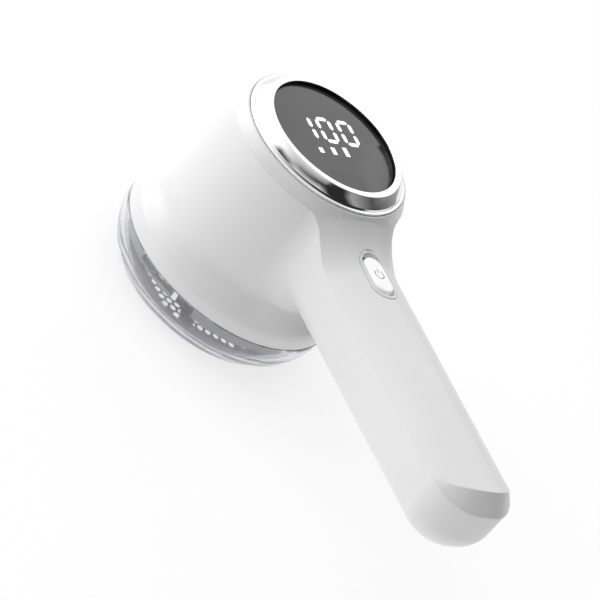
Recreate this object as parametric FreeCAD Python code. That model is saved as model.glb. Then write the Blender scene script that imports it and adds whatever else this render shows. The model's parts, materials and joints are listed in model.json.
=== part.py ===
import FreeCAD, Part
import math
import os

# Cordless fabric shaver. Millimetres, +Z up.
# It stands on its cutting face: z = 0 is the rim of the clear guard, the display looks up,
# and the handle points along +X. Shapes are built about the head's axis and moved along X
# as they are written, so that the row's origin is under the middle of the whole shaver.

V = FreeCAD.Vector
UP = V(0, 0, 1)

# ---------------------------------------------------------------- head, outward from the lens
LENS_R = 23.1             # display lens
LENS_GAP = 0.15           # lens in its ring, all round
RIM_W = 2.2               # flat bright rim round the lens
CONE_W = 3.1              # bright sloping band of the ring
FLANGE_W = 0.8            # thin flange at the ring's foot
RING_GAP = 0.12           # ring flange in the collar
COLLAR_LIP = 0.6          # plastic left standing round the flange
COLLAR_SLOPE = 2.15       # collar edge stands in from the bell's wall
BELL_TAPER = 1.35         # the bell widens by this much down to its flare
FLARE = 5.45              # the skirt stands out from the bell by this much
WALL = 1.8                # moulded wall

RING_BORE_R = LENS_R + LENS_GAP
RIM_R = RING_BORE_R + RIM_W
CONE_R = RIM_R + CONE_W
FLANGE_R = CONE_R + FLANGE_W
COLLAR_R = FLANGE_R + RING_GAP + COLLAR_LIP
BELL_TOP_R = COLLAR_R + COLLAR_SLOPE
BELL_FOOT_R = BELL_TOP_R + BELL_TAPER
HEAD_R = BELL_FOOT_R + FLARE

# ---------------------------------------------------------------- head, upward from the rim
GUARD_H = 16.0            # clear guard, up to the seam
SEAM_GAP = 0.25           # guard under the shell
DECK_RISE = 3.0           # top of the deck above the seam
DECK_T = 1.6
DAMPER_T = 1.0            # rubber under the motor
MOTOR_CAN_H = 27.0
MOTOR_CAP_H = 3.8
LEAD_ROOM = 11.1          # from the motor's cap to the display tray
TRAY_T = 1.8
BOARD_STANDOFF = 1.0
BOARD_T = 1.2
REFLECTOR_H = 4.2
LENS_REST = 0.2           # reflector under the lens
LENS_T = 2.0
LENS_RECESS = 1.3         # lens below the bright rim
RING_STAND = 4.4          # ring above the collar

DECK_TOP = GUARD_H + DECK_RISE
DECK_LOW = DECK_TOP - DECK_T
CAN_Z = DECK_TOP + DAMPER_T
CAP_Z = CAN_Z + MOTOR_CAN_H
MOTOR_TOP = CAP_Z + MOTOR_CAP_H
TRAY_Z = MOTOR_TOP + LEAD_ROOM
DISPLAY_BOARD_Z = TRAY_Z + TRAY_T + BOARD_STANDOFF
REFLECTOR_Z = DISPLAY_BOARD_Z + BOARD_T
LENS_Z = REFLECTOR_Z + REFLECTOR_H + LENS_REST
LENS_TOP = LENS_Z + LENS_T
RING_TOP = LENS_TOP + LENS_RECESS
COLLAR_Z = RING_TOP - RING_STAND

# the bell's curves, from the skirt up
SKIRT_H = 5.3             # to the corner of the shoulder
FLARE_H = 5.6             # from that corner to the foot of the bell's wall
SHOULDER_R = 6.5
HOLLOW_R = 12.6
COLLAR_ROUND = 1.6
COLLAR_H = 3.9            # sloping part of the collar
SHELF_H = 1.0             # ring flange sunk in the collar
SHELF_T = 2.4             # collar flange that carries the ring
COLLAR_HOLE_CUT = 2.0     # flange width that the ring rests on

SHOULDER_Z = GUARD_H + SKIRT_H
BELL_FOOT_Z = SHOULDER_Z + FLARE_H
COLLAR_FOOT_Z = COLLAR_Z - COLLAR_H
SHELF_Z = COLLAR_Z - SHELF_H
COLLAR_HOLE_R = FLANGE_R - COLLAR_HOLE_CUT

# ---------------------------------------------------------------- handle
CELL_R = 9.15             # cylindrical lithium cell
CELL_LEN = 65.0
CELL_SIDE_ROOM = 4.8      # for leads, each side
CELL_GAP = 0.15
CRADLE_FLOOR = 0.6
BOARD_OVER_CELL = 0.5
CONTROL_BOARD_T = 1.0
BOARD_UNDER_CROWN = 3.3   # control board's top below the wall over it
NECK_DROP = 6.4           # top of the handle below the collar
CROWN_RISE = 6.2          # arch of the handle's top over its creases
NECK_ROOM = 18.35         # from the bell's foot radius to the cell
END_BAY = 22.5            # from the cell to the handle's end
NECK_BLEND_R = 10.0       # blend of the handle into the bell
KEEL_R = 11.5             # rounding of the handle's lower edges
END_R = 14.6              # rounding of the handle's end, seen from above
END_BEVEL_SLOPE = 1.3     # rise of the bevel over the end for its run
NECK_LEN = 17.0           # length over which the top sweeps up to the ring
NECK_START = 2.3          # the sweep ends this far inside the bell's top radius
NECK_SWEEP_H = 5.8
NECK_FLATTEN = 6.0        # the arch is this much flatter at the ring
ARCH_FLANK = 0.8          # share of the arch's radius that is round, each side
SWEEP_ROWS = 5            # rows of the top's surface along the sweep
ARCH_COLUMNS = 6          # and its columns each side of the middle
SHEET_SPARE = 2.0         # the surface stands out from the handle's side
NECK_SHEET_SPARE = 10.0   # and by this much more at the ring
CUT_H = 40.0              # height of what is cut away over it
BEVEL_DROP = 3.0          # the end's bevel is cut from this far under the crease
BEVEL_RISE = 12.0         # to this far over it

HANDLE_HALF_W = CELL_R + CELL_SIDE_ROOM + WALL
HANDLE_TOP = COLLAR_Z - NECK_DROP
BOARD_TOP = HANDLE_TOP - WALL - BOARD_UNDER_CROWN
BOARD_Z = BOARD_TOP - CONTROL_BOARD_T
CELL_Z = BOARD_Z - BOARD_OVER_CELL - CELL_R
HANDLE_FLOOR = CELL_Z - CELL_R - CELL_GAP - CRADLE_FLOOR - 0.05
HANDLE_BOTTOM = HANDLE_FLOOR - WALL
CELL_X = BELL_FOOT_R + NECK_ROOM
CELL_END = CELL_X + CELL_LEN
HANDLE_REACH = CELL_END + END_BAY
CROWN_R = (HANDLE_HALF_W ** 2 + CROWN_RISE ** 2) / (2 * CROWN_RISE)
NECK_X = BELL_TOP_R - NECK_START

# ---------------------------------------------------------------- underside cover and its screws
COVER_HALF_W = 11.0
COVER_CORNER_R = 4.0
COVER_GAP = 0.15
COVER_HEAD_ROOM = 10.0    # cover starts this far in front of the cell
COVER_TAIL_ROOM = 7.0     # and ends this far behind it
LEDGE_W = 1.5
LEDGE_T = 1.3
INNER_GAP = 0.05          # ledge and cell cradle over the cover's inner face
COVER_SCREW_INSET = 4.0
COVER_START = CELL_X - COVER_HEAD_ROOM
COVER_END = CELL_END + COVER_TAIL_ROOM
COVER_SCREW_X = (COVER_START + COVER_SCREW_INSET, COVER_END - COVER_SCREW_INSET)
RIB_T = 1.6
RIB_LOW = 3.5             # rib above the handle's floor
RIB_H = 7.5
BOSS_R = 2.6
SCREW_R = 0.9             # M2 thread-forming screws
SCREW_HEAD_R = 1.8
SCREW_HEAD_H = 1.0
SCREW_GAP = 0.04          # thread in its pilot hole
HEAD_RECESS = 1.25

# ---------------------------------------------------------------- power button
BUTTON_OFFSET = 15.0      # from the bell's foot radius
BUTTON_LEN = 14.6
BUTTON_W = 7.2
BUTTON_END_ROOM = 1.2     # opening round the button, at its ends and sides
BUTTON_SIDE_ROOM = 0.35
WELL_LEN = BUTTON_LEN + 2 * BUTTON_END_ROOM
WELL_W = BUTTON_W + 2 * BUTTON_SIDE_ROOM
FRAME_RIM = 1.0
FRAME_DEPTH = 1.4
FRAME_GAP = 0.05
FRAME_STAND = 0.12        # frame above the arch
BUTTON_PROUD = 0.6
BUTTON_FLANGE = 0.9       # flange out from the cap, at its sides and ends
BUTTON_FLANGE_END = 1.7
BUTTON_POST_R = 1.5
BUTTON_FLANGE_T = 0.75
BUTTON_FLANGE_DROP = 0.65 # flange top under the wall, at the middle
BUTTON_ROUND = 0.7
BUTTON_TRAVEL = 0.35
SWITCH_SPARE = 0.05       # plunger left standing when the button is down
SWITCH_W = 4.5
SWITCH_H = 1.2
SWITCH_FLOOR = 0.1
PLUNGER_CLEAR = 0.1       # plunger above the switch floor when the button is down
PLUNGER_R = 1.1
PLUNGER_STAND = BUTTON_TRAVEL + SWITCH_SPARE
PLUNGER_H = SWITCH_H + SWITCH_SPARE - SWITCH_FLOOR - PLUNGER_CLEAR
BUTTON_X = BELL_FOOT_R + BUTTON_OFFSET

# ---------------------------------------------------------------- clear guard, foil and deck
GUARD_WALL = 2.1
GUARD_BELLY_Z = 10.8
GUARD_KNEE = (3.0, 4.2)   # knee of the outside: in from the skirt, up from the rim
RIM_IN = 7.1              # outer edge of the rim, in from the skirt
RIM_FACE_W = 2.4
FOIL_RECESS = 0.8
FOIL_T = 0.25
FOIL_SEAT_W = 2.0
FOIL_HOLE_R = 1.1
FOIL_PITCH = 3.0
FOIL_BORDER = 2.6
FOIL_RING_H = 2.2
FOIL_GAP = 0.1
RIM_OUT_R = HEAD_R - RIM_IN
MOUTH_R = RIM_OUT_R - RIM_FACE_W
FOIL_R = MOUTH_R + FOIL_SEAT_W
FOIL_TOP = FOIL_RECESS + FOIL_T

DECK_GAP = 0.6            # deck plate in the shell
SKIRT_WALL = 1.8
BAYONET_GAP = 1.1         # deck skirt inside the guard
SKIRT_LOW = 11.0
LUG_SPAN = 12.0           # degrees
LUG_LOW = 12.4
LUG_H = 1.6
LUG_DEPTH = 2.1
SLOT_PLAY = 1.0           # degrees
SLOT_GAP = 0.25
TWIST = 25.0              # degrees from locked to released
LUG_ANGLES = (-80.0, 40.0, 160.0)
GUARD_IN_R = HEAD_R - GUARD_WALL
DECK_R = HEAD_R - WALL - DECK_GAP
SKIRT_OUT_R = GUARD_IN_R - BAYONET_GAP
SKIRT_IN_R = SKIRT_OUT_R - SKIRT_WALL

FIX_ANGLES = (60.0, 180.0, 300.0)
DECK_BOSS_R = BELL_FOOT_R - 4.6
DECK_BOSS_H = 12.0
TRAY_GAP = 0.4
TRAY_R = COLLAR_HOLE_R - TRAY_GAP
TRAY_BOSS_R = TRAY_R - 2.6
TRAY_BOSS_H = 10.0

# ---------------------------------------------------------------- motor and cutter drive
MOTOR_R = 12.2
CAN_T = 1.0
NOSE_R = 3.0
NOSE_H = 0.8
SHAFT_R = 1.0
RUN_GAP = 0.04            # running fit, all round
SLEEVE_GAP = 0.05
SLEEVE_T = 1.6
SLEEVE_H = 16.0
CUP_T = 1.5
CUP_H = 18.0
MAGNET_T = 1.5
MAGNET_H = 18.0
MAGNET_SPAN = 125.0
AIR_GAP = 0.4
CORE_H = 14.0
POLE_NECK_W = 4.0
POLE_TIP_T = 1.6
POLE_SPAN = 96.0
COIL_T = 2.2
COMMUTATOR_R = 2.4
COMMUTATOR_H = 3.8
BUSH_R = 2.6
BUSH_H = 2.4
BRUSH_GAP = 0.1
TERMINAL_Y = 8.0
TERMINAL_H = 2.7
MOTOR_SCREW_Y = 8.5
MOTOR_SCREW_R = 1.25
MOTOR_SCREW_HEAD_R = 2.2

BLADE_GAP = 0.2           # cutter over the foil
BLADE_T = 0.5
BLADE_TIP_GAP = 1.0       # cutter tips inside the foil ring
BLADE_W = 6.5
BLADE_COUNT = 6
BLADE_SWEEP = 14.0        # degrees
HUB_R = 12.0
HUB_T = 2.0
HUB_BOSS_R = 7.0
HUB_BOSS_H = 3.1
HUB_TUBE_R = 4.9
HUB_TUBE_H = 4.6
SOCKET_FLOOR = 0.7
DRIVE_SQ = 5.0
DRIVE_GAP = 0.1
FLOAT = 1.2               # cutter can rise by this much
DRIVE_FLANGE_R = 6.8
DRIVE_FLANGE_T = 1.2
DRIVE_FLANGE_Z = DECK_LOW - 3.2
SPRING_WIRE_R = 0.25
SPRING_MEAN_R = 5.8
SPRING_TURNS = 5.0
RIVET_RING_R = 9.5
RIVET_R = 1.0

BLADE_Z = FOIL_TOP + BLADE_GAP
HUB_Z = BLADE_Z + BLADE_T
SHOULDER_TOP = HUB_Z + HUB_T + HUB_BOSS_H
TUBE_TOP = SHOULDER_TOP + HUB_TUBE_H
FOIL_RING_IN_R = MOUTH_R - 0.4
BLADE_R = FOIL_RING_IN_R - BLADE_TIP_GAP

# ---------------------------------------------------------------- display
DIGIT_H = 11.0
DIGIT_W = 6.8
DIGIT_PITCH = 9.0
SEGMENT_W = 1.5
SEGMENT_GAP = 0.35
DIGITS_X = -3.5           # middle of the digits, along the handle's direction
DIGITS_Y = 3.8            # middle of the digit before the last
BAR_FOOT_X = 7.1
BAR_W = 1.8
BAR_HEIGHTS = (2.1, 3.0, 3.8)
BAR_PITCH = 5.6
BAR_FIRST_Y = -8.4
GASKET_T = 0.5
GASKET_W = 2.4
RING_LEDGE_T = 1.0
DISPLAY_BOARD_GAP = 1.0
RING_SKIRT_T = 1.2
RING_SKIRT_H = 2.2

# ---------------------------------------------------------------- control board, port, leads
CONTROL_BOARD_HALF_W = 10.8
CONTROL_BOARD_HEAD = 16.5 # board starts this far in front of the cell
CONTROL_BOARD_TAIL = 5.0  # and stops this far short of the cell's end
BOARD_PAD_R = 2.2
BOARD_PAD_Y = 9.0
BOARD_PAD_INSET = (8.0, 12.0)
PORT_OFFSET = 12.0        # port from the handle's end
PORT_W = 8.94
PORT_D = 3.26
PORT_H = 6.5
PORT_WALL = 0.3
PORT_GAP = 0.25
PORT_SINK = 0.4
PORT_BOARD_HEAD = 3.2
PORT_BOARD_TAIL = 6.4
PORT_BOARD_HALF_W = 8.0
LEAD_R = 0.6
TAB_T = 0.15
BOARD_START = CELL_X - CONTROL_BOARD_HEAD
BOARD_END = CELL_END - CONTROL_BOARD_TAIL
PORT_X = HANDLE_REACH - PORT_OFFSET
PORT_MOUTH = HANDLE_BOTTOM + PORT_SINK
PORT_TOP = PORT_MOUTH + PORT_H

# the row's origin lies halfway between the back of the head and the handle's end
HEAD_X = (HEAD_R - HANDLE_REACH) / 2


# ================================================================ drawing helpers
def rounded_edges(points, place):
    """Edges of a closed outline. Each point is (a, b) or (a, b, corner radius)."""
    count = len(points)
    corners = []
    for i, point in enumerate(points):
        here = V(point[0], point[1], 0)
        radius = point[2] if len(point) > 2 else 0
        before = V(points[i - 1][0], points[i - 1][1], 0)
        after = V(points[(i + 1) % count][0], points[(i + 1) % count][1], 0)
        to_before = (before - here).normalize()
        to_after = (after - here).normalize()
        half = to_before.getAngle(to_after) / 2
        if radius == 0 or half > math.pi / 2 - 1e-6:
            corners.append((here, None, here))
            continue
        back = radius / math.tan(half)
        middle = (to_before + to_after).normalize()
        centre = here + middle * (radius / math.sin(half))
        corners.append((here + to_before * back, centre - middle * radius, here + to_after * back))
    edges = []
    for i, (start, middle, end) in enumerate(corners):
        if middle is not None:
            edges.append(Part.Arc(place(start), place(middle), place(end)).toShape())
        following = corners[(i + 1) % count][0]
        if (following - end).Length > 1e-7:
            edges.append(Part.LineSegment(place(end), place(following)).toShape())
    return edges


def outline(points, place):
    return Part.Wire(rounded_edges(points, place))


def on_xz(point):
    return V(point.x, 0, point.y)


def on_xy(point):
    return V(point.x, point.y, 0)


def turned(points):
    """Solid of revolution about the head's axis from an outline of (radius, height) points."""
    face = Part.Face(outline(points, on_xz))
    return face.revolve(V(0, 0, 0), UP, 360)


def plate(points, z, height, holes=()):
    """Flat plate of the outline, from z upwards, with outlines cut through it."""
    wires = [outline(points, on_xy)]
    for hole in holes:
        wires.append(outline(hole, on_xy))
    solid = Part.Face(wires[0]).extrude(V(0, 0, height))
    for wire in wires[1:]:
        solid = solid.cut(Part.Face(wire).extrude(V(0, 0, height)))
    return solid.translated(V(0, 0, z))


def rod(radius, z0, z1, x=0.0, y=0.0):
    return Part.makeCylinder(radius, z1 - z0, V(x, y, z0), UP)


def tube(inner, outer, z0, z1, x=0.0, y=0.0):
    return rod(outer, z0, z1, x, y).cut(rod(inner, z0, z1, x, y))


def block(x0, x1, y0, y1, z0, z1):
    return Part.makeBox(x1 - x0, y1 - y0, z1 - z0, V(x0, y0, z0))


def slab(x0, x1, half_w, z0, z1):
    return block(x0, x1, -half_w, half_w, z0, z1)


def stadium(length, width, x=0.0):
    """Outline points of a slot with round ends, long side along X."""
    a, b, r = length / 2, width / 2, width / 2 - 1e-4
    return [(x - a, -b, r), (x + a, -b, r), (x + a, b, r), (x - a, b, r)]


def rounded_box_points(x0, x1, half_w, radius):
    return [(x0, -half_w, radius), (x1, -half_w, radius), (x1, half_w, radius), (x0, half_w, radius)]


def sector(inner, outer, z0, z1, middle, span):
    """Part of a ring, span degrees wide, about the angle middle."""
    ring = Part.makeCylinder(outer, z1 - z0, V(0, 0, z0), UP, span)
    ring = ring.cut(rod(inner, z0 - 1, z1 + 1))
    return ring.rotated(V(0, 0, 0), UP, middle - span / 2)


def around(shape, angles):
    return [shape.rotated(V(0, 0, 0), UP, angle) for angle in angles]


def joined(shapes):
    first, rest = shapes[0], shapes[1:]
    return first.fuse(rest).removeSplitter() if rest else first


def lead(points, radius):
    """Round lead along straight runs with tangent arcs at the turns."""
    nodes = [V(*p) for p in points]
    edges = []
    start = nodes[0]
    for before, here, after in zip(nodes, nodes[1:], nodes[2:]):
        to_before = (before - here).normalize()
        to_after = (after - here).normalize()
        half = to_before.getAngle(to_after) / 2
        back = 0.45 * min((before - here).Length, (after - here).Length)
        turn_r = back * math.tan(half)
        middle = (to_before + to_after).normalize()
        near = here + middle * (turn_r / math.sin(half) - turn_r)
        first, last = here + to_before * back, here + to_after * back
        edges.append(Part.LineSegment(start, first).toShape())
        edges.append(Part.Arc(first, near, last).toShape())
        start = last
    edges.append(Part.LineSegment(start, nodes[-1]).toShape())
    ring = Part.Wire(Part.Circle(nodes[0], nodes[1] - nodes[0], radius).toShape())
    return Part.Wire(edges).makePipeShell([ring], True, True)


def screw(x, y, head_z, down, length, radius=SCREW_R, head_r=SCREW_HEAD_R):
    """Cross-head screw. down is -1 when the thread points down from its head, else 1."""
    head = Part.makeCylinder(head_r, SCREW_HEAD_H, V(x, y, head_z), V(0, 0, -down))
    head = head.makeFillet(0.35, [head.Edges[0] if head.Edges[0].Curve.Center.z * -down
                                  > head.Edges[2].Curve.Center.z * -down else head.Edges[2]])
    thread = Part.makeCylinder(radius, length, V(x, y, head_z), V(0, 0, down))
    solid = joined([head, thread])
    arm, width, depth = head_r * 0.62, head_r * 0.16, SCREW_HEAD_H * 0.6
    top = head_z - down * SCREW_HEAD_H
    low, high = sorted((top, top + down * depth))
    cross = [block(x - arm, x + arm, y - width, y + width, low, high),
             block(x - width, x + width, y - arm, y + arm, low, high)]
    return solid.cut(cross)


# ================================================================ outer form
def bell_form(inset):
    """The bell as one full body, moved in by inset. The top is left to the collar."""
    top = COLLAR_Z if inset == 0 else SHELF_Z - SHELF_T
    points = [(0, GUARD_H - (1 if inset else 0)),
              (HEAD_R - inset, GUARD_H - (1 if inset else 0)),
              (HEAD_R - inset, SHOULDER_Z - inset * 0.2, SHOULDER_R - inset),
              (BELL_FOOT_R - inset, BELL_FOOT_Z - inset * 0.2, HOLLOW_R + inset)]
    if inset == 0:
        points += [(BELL_TOP_R, COLLAR_FOOT_Z, COLLAR_ROUND), (COLLAR_R, COLLAR_Z, 0.3), (0, COLLAR_Z)]
    else:
        points += [(BELL_TOP_R - inset, top), (0, top)]
    return turned(points)


def arch_height(radius, y):
    """Height of a round arch at y under its top. Past its flanks it runs on straight."""
    flank = ARCH_FLANK * radius
    if abs(y) <= flank:
        return math.sqrt(radius ** 2 - y ** 2) - radius
    flank_drop = radius - math.sqrt(radius ** 2 - flank ** 2)
    return -flank_drop - (abs(y) - flank) * flank / (radius - flank_drop)


def crown_cutter(inset):
    """Everything above the arched top of the handle, which sweeps up to the ring at the neck."""
    step = NECK_LEN / SWEEP_ROWS
    last = int((HANDLE_REACH - NECK_X) / step) + 3
    rows = []
    for i in range(1 - SWEEP_ROWS, last):
        left = max(0.0, 1 - i / SWEEP_ROWS)
        top = HANDLE_TOP + NECK_SWEEP_H * left ** 2 - inset
        radius = CROWN_R + NECK_FLATTEN * left ** 2 - inset
        column = (HANDLE_HALF_W + SHEET_SPARE + NECK_SHEET_SPARE * left) / ARCH_COLUMNS
        rows.append([V(NECK_X + i * step, column * k, top + arch_height(radius, column * k))
                     for k in range(-ARCH_COLUMNS, ARCH_COLUMNS + 1)])
    sheet = Part.BSplineSurface()
    sheet.interpolate(rows)
    return sheet.toShape().extrude(V(0, 0, CUT_H))


def end_cutter(inset):
    """Everything outside the cone that bevels the handle's end, from crease to crease."""
    radius = HANDLE_HALF_W - inset
    crease_z = HANDLE_TOP - inset + arch_height(CROWN_R - inset, radius)
    middle_x = HANDLE_REACH - HANDLE_HALF_W
    low, high = crease_z - BEVEL_DROP, crease_z + BEVEL_RISE
    cone = Part.makeCone(radius + BEVEL_DROP / END_BEVEL_SLOPE, radius - BEVEL_RISE / END_BEVEL_SLOPE,
                         high - low, V(middle_x, 0, low))
    side = 2 * HANDLE_HALF_W
    return block(middle_x, middle_x + side, -side, side, low, high).cut(cone)


def handle_form(inset):
    """The handle with its blend into the bell, as one full body, moved in by inset."""
    low, high = HANDLE_BOTTOM + inset, COLLAR_Z + 12
    drop, rise = BELL_FOOT_Z - 8, COLLAR_Z + 20
    slope = (BELL_TOP_R - BELL_FOOT_R) / (COLLAR_FOOT_Z - BELL_FOOT_Z)

    def bell_r(z):
        return BELL_FOOT_R + slope * (z - BELL_FOOT_Z) - inset

    cone = Part.makeCone(bell_r(drop), bell_r(rise), rise - drop, V(0, 0, drop))
    beam = slab(0, HANDLE_REACH - inset, HANDLE_HALF_W - inset, low, high)
    ends = [e for e in beam.Edges if e.BoundBox.ZLength > 10 and e.BoundBox.XMin > HANDLE_REACH / 2]
    beam = beam.makeFillet(END_R - inset, ends)
    keel = [e for e in beam.Edges if e.BoundBox.ZMax < low + 0.01 and e.BoundBox.XMax > 1]
    beam = beam.makeFillet(KEEL_R - inset, keel)
    both = cone.fuse(beam).removeSplitter()
    seam = []
    for edge in both.Edges:
        box = edge.BoundBox
        middle = edge.valueAt((edge.FirstParameter + edge.LastParameter) / 2)
        on_cone = abs(math.hypot(middle.x, middle.y) - bell_r(middle.z)) < 0.01
        if on_cone and middle.x > 5 and box.ZMin >= low - 0.01 and box.ZMax <= high + 0.01:
            ends_r = [math.hypot(v.X, v.Y) - bell_r(v.Z) for v in edge.Vertexes]
            if max(abs(r) for r in ends_r) < 0.01 and abs(middle.z - high) > 0.5:
                seam.append(edge)
    both = both.makeFillet(NECK_BLEND_R + inset, seam)
    both = both.cut([rod(HEAD_R * 2, high - 2, rise + 5), crown_cutter(inset)])
    both = both.cut(end_cutter(inset))
    keep = joined([slab(0, HANDLE_REACH + 5, HEAD_R, HANDLE_BOTTOM - 12, COLLAR_FOOT_Z),
                   slab(NECK_X - 8, HANDLE_REACH + 5, HANDLE_HALF_W + 2, COLLAR_FOOT_Z - 5,
                        COLLAR_Z - 0.1 - inset)])
    trimmed = both.common(keep)
    return max(trimmed.Solids, key=lambda s: s.Volume)


def cover_prism(grow):
    points = rounded_box_points(COVER_START - grow, COVER_END + grow, COVER_HALF_W + grow,
                                COVER_CORNER_R + grow)
    return plate(points, HANDLE_BOTTOM - 2, WALL + 7)


def make_housing():
    """main_shell and handle_cover, cut from one wall."""
    outer = bell_form(0).fuse(handle_form(0)).removeSplitter()
    hollow = bell_form(WALL).fuse(handle_form(WALL)).removeSplitter()
    wall = outer.cut(hollow)
    wall = wall.cut([rod(COLLAR_HOLE_R, SHELF_Z - SHELF_T - 1, COLLAR_Z + 5),
                     rod(FLANGE_R + RING_GAP, SHELF_Z, COLLAR_Z + 5)])

    cover = wall.common(cover_prism(-COVER_GAP / 2))
    cover_cuts = []
    cover_screws = []
    for x in COVER_SCREW_X:
        cover_cuts.append(rod(SCREW_R + 0.3, HANDLE_BOTTOM - 1, HANDLE_FLOOR + 1, x))
        cover_cuts.append(rod(SCREW_HEAD_R + 0.25, HANDLE_BOTTOM - 1, HANDLE_BOTTOM + HEAD_RECESS, x))
        cover_screws.append(screw(x, 0, HANDLE_BOTTOM + HEAD_RECESS, 1, 8.0))
    cover = cover.cut(cover_cuts)

    opening = cover_prism(COVER_GAP / 2)
    under_ledge = handle_form(WALL + INNER_GAP)
    over_ledge = handle_form(WALL + LEDGE_T)
    ledge_root = outer.common(cover_prism(COVER_GAP / 2 + LEDGE_W).cut(opening)).cut(over_ledge)
    ledge = under_ledge.common(cover_prism(COVER_GAP / 2 + 0.3).cut(cover_prism(-LEDGE_W))).cut(over_ledge)
    inner_ribs = [ledge_root, ledge]
    pilot_holes = []
    for x in COVER_SCREW_X:
        rib_low = HANDLE_FLOOR + RIB_LOW
        inner_ribs.append(slab(x - RIB_T / 2, x + RIB_T / 2, HANDLE_HALF_W, rib_low, rib_low + RIB_H))
        inner_ribs.append(rod(BOSS_R, HANDLE_FLOOR, rib_low + RIB_H, x))
        pilot_holes.append(rod(SCREW_R + SCREW_GAP, HANDLE_FLOOR - 0.5, HANDLE_FLOOR + 10, x))
    for x in pad_positions():
        for y in (-BOARD_PAD_Y, BOARD_PAD_Y):
            inner_ribs.append(rod(BOARD_PAD_R, BOARD_TOP, BOARD_TOP + 2.3, x, y))
            pilot_holes.append(rod(SCREW_R + SCREW_GAP, BOARD_TOP - 0.5, BOARD_TOP + 1.9, x, y))
    for angle in FIX_ANGLES:
        for ring_r, low, height, reach in ((DECK_BOSS_R, DECK_TOP, DECK_BOSS_H, BELL_FOOT_R - 1),
                                           (TRAY_BOSS_R, TRAY_Z - TRAY_BOSS_H, TRAY_BOSS_H,
                                            BELL_TOP_R - 1)):
            boss = [rod(BOSS_R, low, low + height, ring_r),
                    block(ring_r, reach, -RIB_T / 2, RIB_T / 2, low, low + height)]
            inner_ribs += [shape.rotated(V(0, 0, 0), UP, angle) for shape in boss]
        hole = rod(SCREW_R + SCREW_GAP, DECK_TOP - 1, DECK_TOP + 9, DECK_BOSS_R)
        pilot_holes.append(hole.rotated(V(0, 0, 0), UP, angle))
        hole = rod(SCREW_R + SCREW_GAP, TRAY_Z - 8, TRAY_Z + 1, TRAY_BOSS_R)
        pilot_holes.append(hole.rotated(V(0, 0, 0), UP, angle))

    shell = wall.cut(opening)
    skin = outer.common(joined([rod(HEAD_R, 0, COLLAR_Z), slab(0, HANDLE_REACH, 40, 0, COLLAR_Z)]))
    ribs = joined(inner_ribs).common(skin)
    shell = shell.fuse(ribs).removeSplitter()
    well = plate(stadium(WELL_LEN, WELL_W, BUTTON_X), HANDLE_TOP - WALL - 3, WALL + 6)
    seat = plate(stadium(WELL_LEN + 2 * FRAME_RIM + 2 * FRAME_GAP,
                         WELL_W + 2 * FRAME_RIM + 2 * FRAME_GAP, BUTTON_X),
                 HANDLE_TOP - FRAME_DEPTH, 5)
    mouth = port_slot(PORT_GAP)
    shell = shell.cut(pilot_holes + [well, seat, mouth])
    return shell, cover, Part.Compound(cover_screws)


def pad_positions():
    return (CELL_X + BOARD_PAD_INSET[0], CELL_END - BOARD_PAD_INSET[1])


def port_slot(grow):
    """Upright slot of the charging port; its long side lies across the handle."""
    slot = plate(stadium(PORT_W + 2 * grow, PORT_D + 2 * grow), HANDLE_BOTTOM - 3, WALL + 4)
    return slot.rotated(V(0, 0, 0), UP, 90).translated(V(PORT_X, 0, 0))


# ================================================================ display
def make_chrome_ring():
    skirt_r = COLLAR_HOLE_R - 0.2
    ledge_r = RING_BORE_R - GASKET_W
    ledge_z = LENS_Z - GASKET_T
    return turned([(RING_BORE_R, ledge_z), (RING_BORE_R, RING_TOP, 0.3), (RIM_R, RING_TOP, 0.5),
                   (CONE_R - 0.4, COLLAR_Z + 1.5, 0.5), (CONE_R - 0.15, COLLAR_Z + 0.75, 0.2),
                   (FLANGE_R, COLLAR_Z + 0.6, 0.25), (FLANGE_R, SHELF_Z), (skirt_r, SHELF_Z),
                   (skirt_r, SHELF_Z - RING_SKIRT_H), (skirt_r - RING_SKIRT_T, SHELF_Z - RING_SKIRT_H),
                   (skirt_r - RING_SKIRT_T, ledge_z - RING_LEDGE_T), (ledge_r, ledge_z - RING_LEDGE_T),
                   (ledge_r, ledge_z)])


def segment_outline(x0, y0, x1, y1, width):
    """One display segment with pointed ends, from one end to the other."""
    long_x, long_y = x1 - x0, y1 - y0
    length = math.hypot(long_x, long_y)
    ux, uy = long_x / length, long_y / length
    nx, ny = -uy, ux
    h = width / 2
    corners = ((0, 0), (h, h), (length - h, h), (length, 0), (length - h, -h), (h, -h))
    return [(x0 + a * ux + b * nx, y0 + a * uy + b * ny) for a, b in corners]


def digit_segments(middle_y, names):
    """Outlines of the named segments. Digits read along +Y and their foot is towards +X."""
    half_h, half_w, gap = DIGIT_H / 2 - SEGMENT_W / 2, DIGIT_W / 2 - SEGMENT_W / 2, SEGMENT_GAP
    top, mid, foot = DIGITS_X - half_h, DIGITS_X, DIGITS_X + half_h
    left, right = middle_y - half_w, middle_y + half_w
    lines = {"a": (top, left + gap, top, right - gap), "g": (mid, left + gap, mid, right - gap),
             "d": (foot, left + gap, foot, right - gap),
             "f": (top + gap, left, mid - gap, left), "b": (top + gap, right, mid - gap, right),
             "e": (mid + gap, left, foot - gap, left), "c": (mid + gap, right, foot - gap, right)}
    return [segment_outline(*lines[name], SEGMENT_W) for name in names]


def bar_outlines():
    bars = []
    for i, height in enumerate(BAR_HEIGHTS):
        y = BAR_FIRST_Y + i * BAR_PITCH
        x0 = BAR_FOOT_X - height
        bars.append([(x0, y - BAR_W / 2), (BAR_FOOT_X, y - BAR_W / 2), (BAR_FOOT_X, y + BAR_W / 2),
                     (x0, y + BAR_W / 2)])
    return bars


def digit_places():
    return (DIGITS_Y - 1.5 * DIGIT_PITCH, DIGITS_Y - DIGIT_PITCH / 2, DIGITS_Y + DIGIT_PITCH / 2)


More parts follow.
